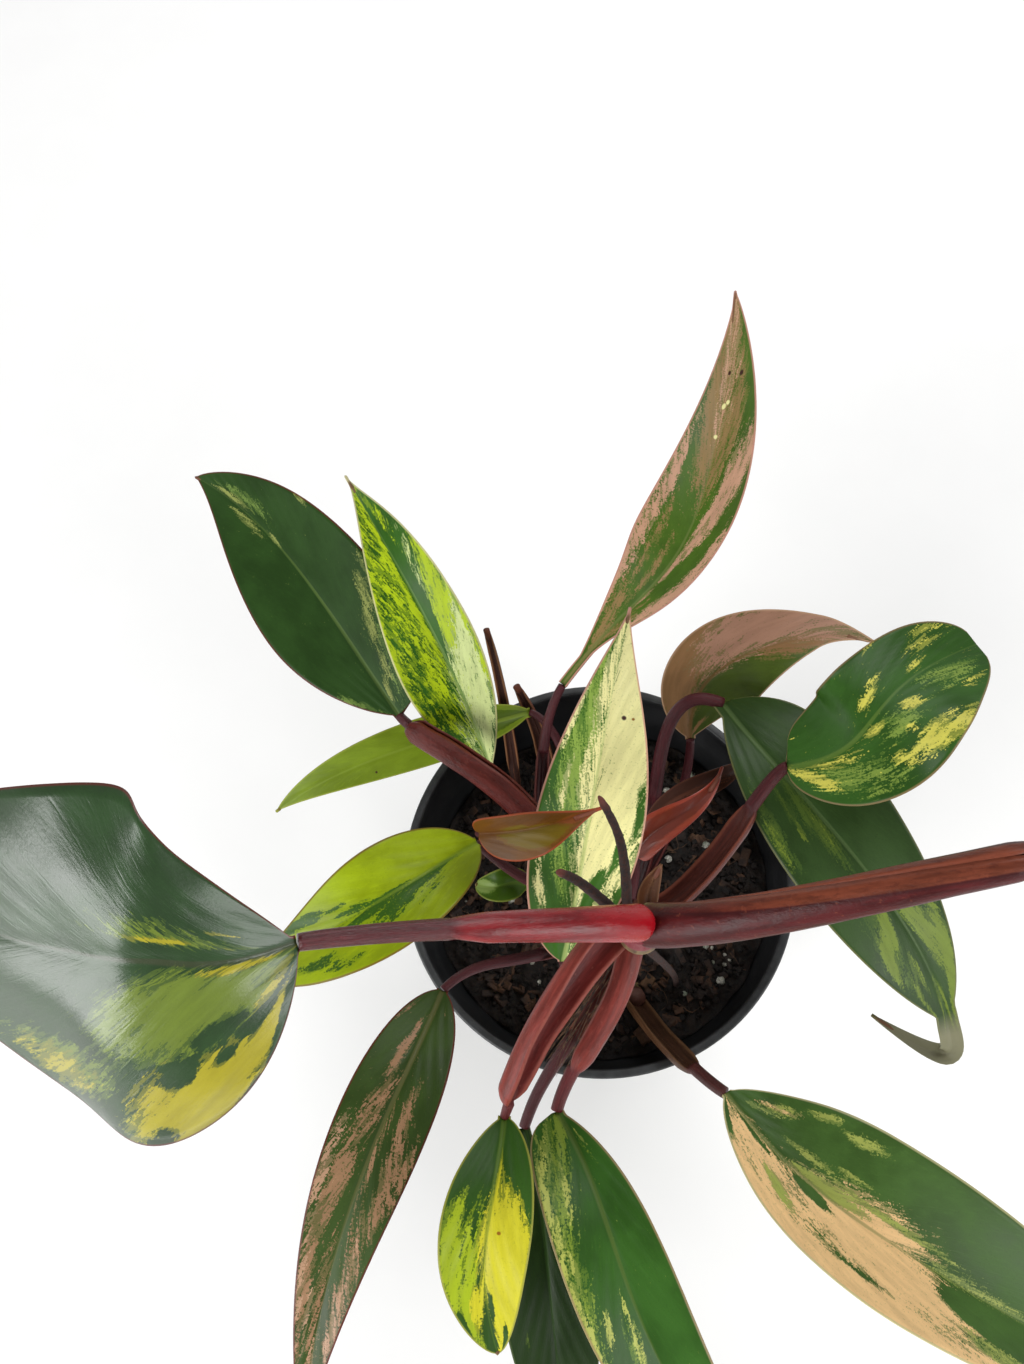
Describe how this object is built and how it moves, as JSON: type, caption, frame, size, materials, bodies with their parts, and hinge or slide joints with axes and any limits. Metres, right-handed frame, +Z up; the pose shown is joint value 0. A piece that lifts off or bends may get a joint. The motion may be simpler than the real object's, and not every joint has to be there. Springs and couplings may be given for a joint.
{
  "type": "potted variegated philodendron",
  "caption": "Young climbing aroid with large waved variegated leaves on winged red stalks, rooted in soil in a plain round nursery pot.",
  "frame": {"origin": "middle of the pot's flat underside, on the surface that the pot stands on", "axes": "+Z up along the pot axis, +X to the right and +Y to the back as the plant is seen in the picture from the front and above"},
  "size_m": [0.3425, 0.3184, 0.2621],
  "materials": {
    "pot": "matte black injection-moulded nursery pot, faintly scuffed",
    "potting_mix": "loose dark bark and peat mix with white perlite",
    "stem": "semi-gloss brown-green stem with leaf-scar rings",
    "aerial_root": "rough dark purple-brown root",
    "petiole_red": "glossy red leaf stalk",
    "petiole_dark": "glossy dark red-brown leaf stalk",
    "dry_sheath": "dry brown papery sheath",
    "leaf_green": "glossy green blade with lime and cream variegation",
    "leaf_lime": "glossy lime blade with green streaks",
    "leaf_pink": "satin pink, peach and green variegated blade",
    "leaf_young": "glossy caramel to red-bronze young blade"
  },
  "bodies": {
    "root": {"aerial_root_long": "aerial_root", "aerial_root_short": "aerial_root", "aerial_root_to_soil": "aerial_root", "dry_sheath_short": "dry_sheath", "dry_sheath_tall": "dry_sheath", "front_shoot": "stem", "leaf_bronze_young": "leaf_young", "leaf_brown_withered": "dry_sheath", "leaf_caramel_young": "leaf_young", "leaf_cream_centre": "leaf_pink", "leaf_dark_lower_right": "leaf_green", "leaf_dark_upper_left": "leaf_green", "leaf_front_green": "leaf_green", "leaf_front_plain": "leaf_green", "leaf_left_large": "leaf_green", "leaf_lime_streaked": "leaf_lime", "leaf_lime_striped": "leaf_lime", "leaf_oval_right": "leaf_green", "leaf_peach_front_right": "leaf_green", "leaf_pink_folded": "leaf_pink", "leaf_pink_streaked": "leaf_pink", "leaf_pink_top": "leaf_pink", "leaf_plain_lime": "leaf_lime", "leaf_right_large": "leaf_green", "leaf_small_oval": "leaf_green", "leaf_yellow_ovate": "leaf_lime", "main_stem": "stem", "old_bud_scale": "dry_sheath", "petiole_bronze_young": "petiole_dark", "petiole_brown_withered": "petiole_dark", "petiole_caramel_young": "petiole_red", "petiole_cream_centre": "petiole_dark", "petiole_dark_lower_right": "petiole_dark", "petiole_dark_upper_left": "petiole_dark", "petiole_front_green": "petiole_red", "petiole_front_plain": "petiole_dark", "petiole_left_large": "petiole_red", "petiole_lime_streaked": "petiole_dark", "petiole_lime_striped": "petiole_red", "petiole_oval_right": "petiole_dark", "petiole_peach_front_right": "petiole_dark", "petiole_pink_folded": "petiole_dark", "petiole_pink_streaked": "petiole_dark", "petiole_pink_top": "petiole_dark", "petiole_plain_lime": "petiole_dark", "petiole_right_large": "petiole_red", "petiole_small_oval": "petiole_red", "petiole_yellow_ovate": "petiole_red", "pot": "pot", "potting_mix": "potting_mix", "side_stem": "stem"}
  },
  "joints": []
}
